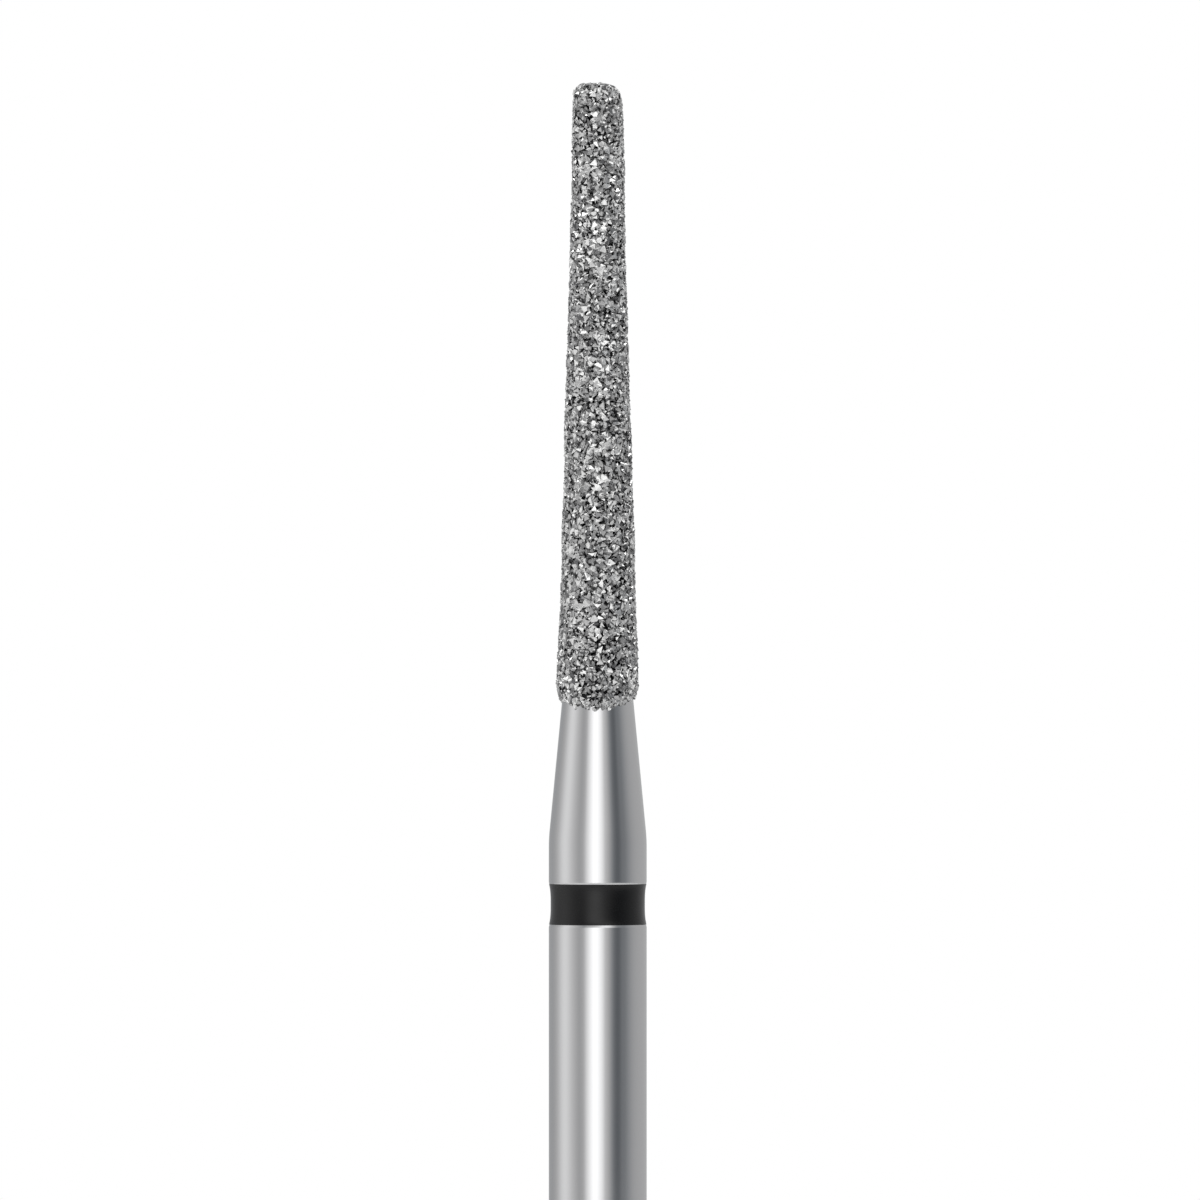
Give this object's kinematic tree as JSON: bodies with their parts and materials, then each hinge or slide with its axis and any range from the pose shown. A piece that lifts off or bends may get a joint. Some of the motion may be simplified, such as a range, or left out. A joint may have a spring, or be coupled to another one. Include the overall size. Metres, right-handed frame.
{
  "type": "dental bur",
  "caption": "Slim rotary bur with a straight smooth shank, a black colour band, a tapered neck and a long tapered, flat-ended head coated in coarse diamond grit.",
  "frame": {"origin": "centre of the shank's flat end face", "axes": "+Z along the bur's axis, from the shank's end to the tip of the head; X and Y are alike, because the bur is round"},
  "size_m": [0.0016, 0.0016, 0.022],
  "materials": {
    "stainless_steel": "ground and polished bright",
    "black_lacquer": "gloss",
    "nickel_bonded_diamond": "coarse crystals in satin nickel plate"
  },
  "bodies": {
    "root": {"steel_blank": "stainless_steel", "colour_band": "black_lacquer", "diamond_coat": "nickel_bonded_diamond"}
  },
  "joints": []
}
